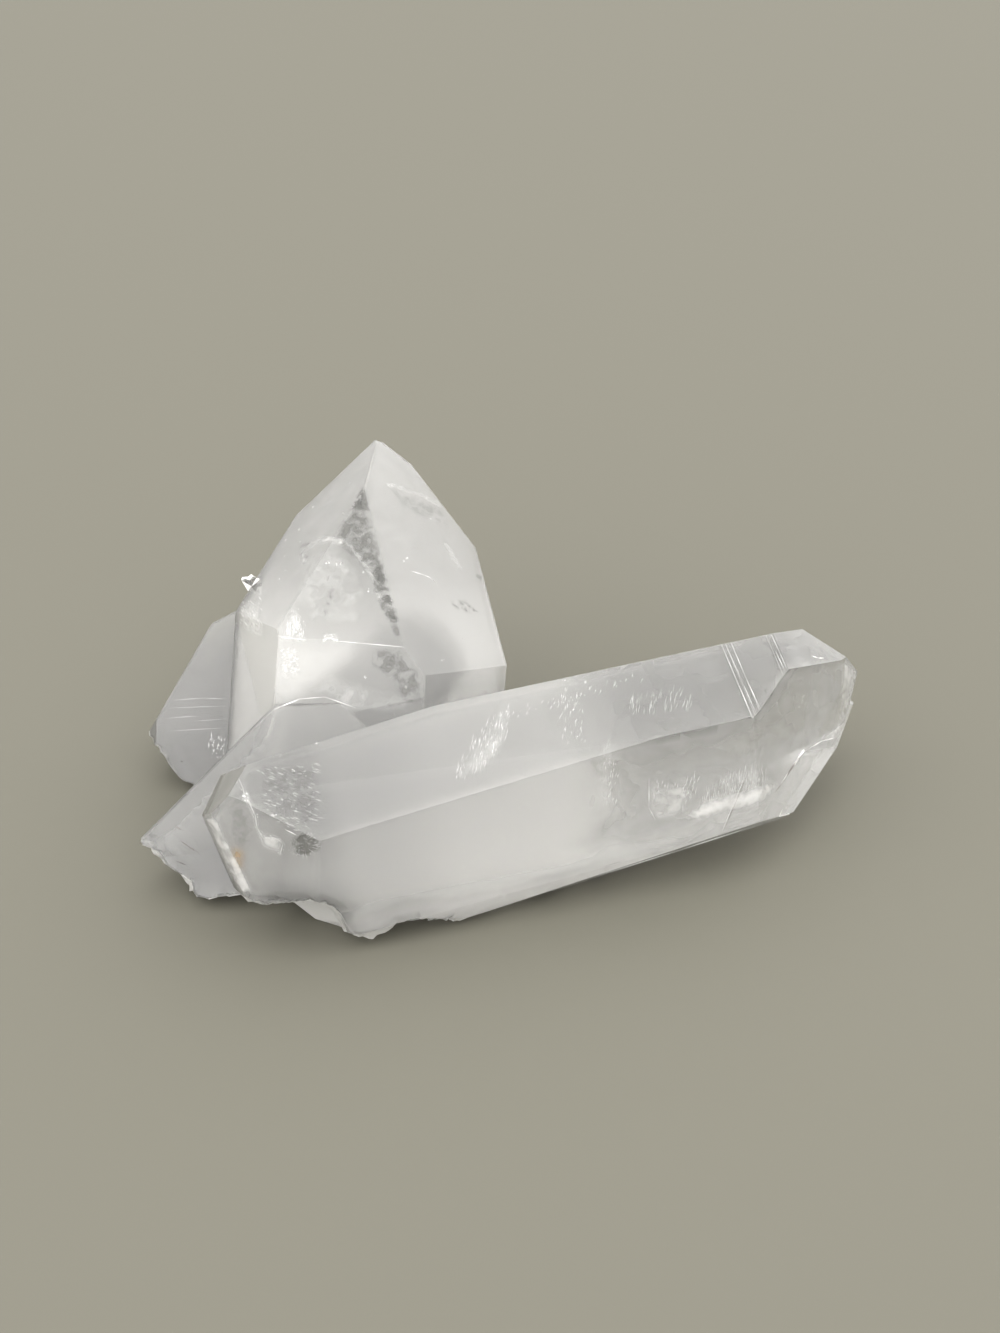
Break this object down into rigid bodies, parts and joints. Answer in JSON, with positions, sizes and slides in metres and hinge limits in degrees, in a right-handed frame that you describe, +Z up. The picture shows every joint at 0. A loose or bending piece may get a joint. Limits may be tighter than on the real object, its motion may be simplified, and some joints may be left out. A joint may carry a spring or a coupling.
{
  "type": "quartz cluster",
  "caption": "Natural cluster of clear and milky quartz crystals grown together, one upright and one lying, on a broken root.",
  "frame": {"origin": "bottom centre of the whole cluster's box, on the ground", "axes": "+X along the long lying crystal towards its point, +Y to the back where the upright point leans, +Z up"},
  "size_m": [0.1228, 0.0786, 0.0532],
  "materials": {
    "quartz": "natural crystal faces, glossy, clear to milky white inside, with rough broken parts at the root"
  },
  "bodies": {
    "root": {"quartz_cluster": "quartz"}
  },
  "joints": []
}
